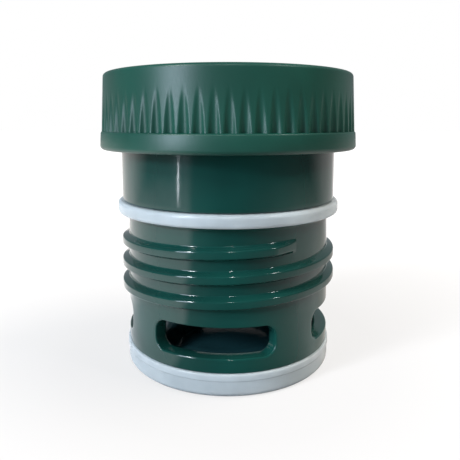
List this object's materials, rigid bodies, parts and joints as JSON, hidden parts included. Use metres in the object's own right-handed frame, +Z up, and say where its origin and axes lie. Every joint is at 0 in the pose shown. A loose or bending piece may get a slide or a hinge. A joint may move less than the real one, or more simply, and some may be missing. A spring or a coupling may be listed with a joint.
{
  "type": "vacuum bottle stopper",
  "caption": "Twist-and-pour vacuum-bottle stopper: fluted knob with an insulated core that lifts out of a threaded, windowed sleeve with two silicone seals.",
  "frame": {"origin": "centre of the face the stopper rests on, at the bottom of the lower seal", "axes": "+Z up the stopper's axis to the knob's top; inlet windows centred on +X, +Y, -X and -Y; pour outlets either side of +Y"},
  "size_m": [0.0642, 0.0642, 0.071],
  "materials": {
    "knob_plastic": "satin",
    "sleeve_plastic": "gloss",
    "inner_plastic": "satin",
    "silicone": "satin",
    "foam": "matte"
  },
  "bodies": {
    "sleeve": {"threaded_sleeve": "sleeve_plastic", "upper_seal_ring": "silicone", "bottom_plug": "sleeve_plastic", "lower_seal_boot": "silicone"},
    "knob": {"knob_shell": "knob_plastic", "knob_base": "inner_plastic", "knob_insulation": "foam", "core_shell": "inner_plastic", "core_insulation": "foam", "core_o_ring": "silicone"}
  },
  "joints": [
    {"name": "knob_pull", "type": "slide", "parent": "sleeve", "child": "knob", "axis": [0, 0, 1], "range_m": [0, 0.055]}
  ]
}
